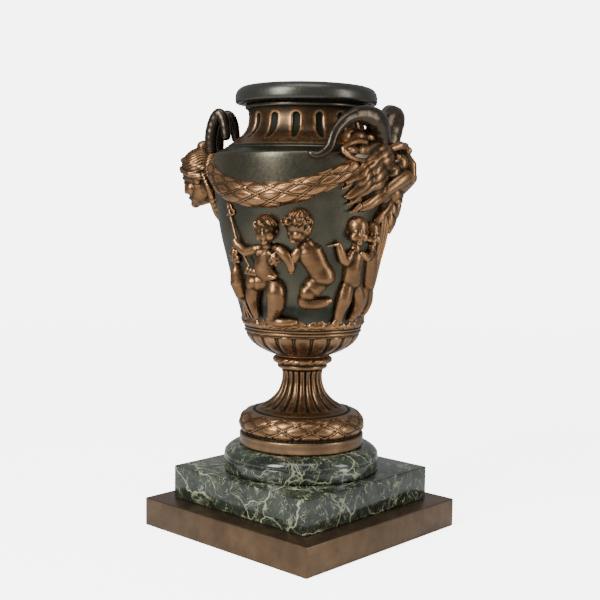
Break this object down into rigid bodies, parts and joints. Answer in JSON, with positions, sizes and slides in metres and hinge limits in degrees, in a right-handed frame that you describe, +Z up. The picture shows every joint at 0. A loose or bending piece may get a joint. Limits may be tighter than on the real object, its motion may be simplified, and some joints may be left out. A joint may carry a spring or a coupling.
{
  "type": "mantel urn",
  "caption": "Cast mantel urn with a gadrooned bowl, a relief of children under garlands, two masks with arched horns, a fluted neck and a stepped marble plinth.",
  "frame": {"origin": "centre of the base plate's underside", "axes": "+Z up along the urn's axis, -Y towards the plate's front side, +X to its right"},
  "size_m": [0.2137, 0.2, 0.3974],
  "materials": {
    "brown_bronze": "brown patina, satin, slightly worn at the edges",
    "green_marble": "polished dark green marble with pale veins",
    "copper_bronze": "copper-brown patina, satin, with a dark green-black ground",
    "dark_bronze": "dark green-black patina, satin"
  },
  "bodies": {
    "root": {"base_plate": "brown_bronze", "marble_plinth": "green_marble", "marble_step": "green_marble", "foot": "copper_bronze", "body": "copper_bronze", "rim": "dark_bronze", "satyr_mask": "copper_bronze", "female_mask": "copper_bronze"}
  },
  "joints": []
}
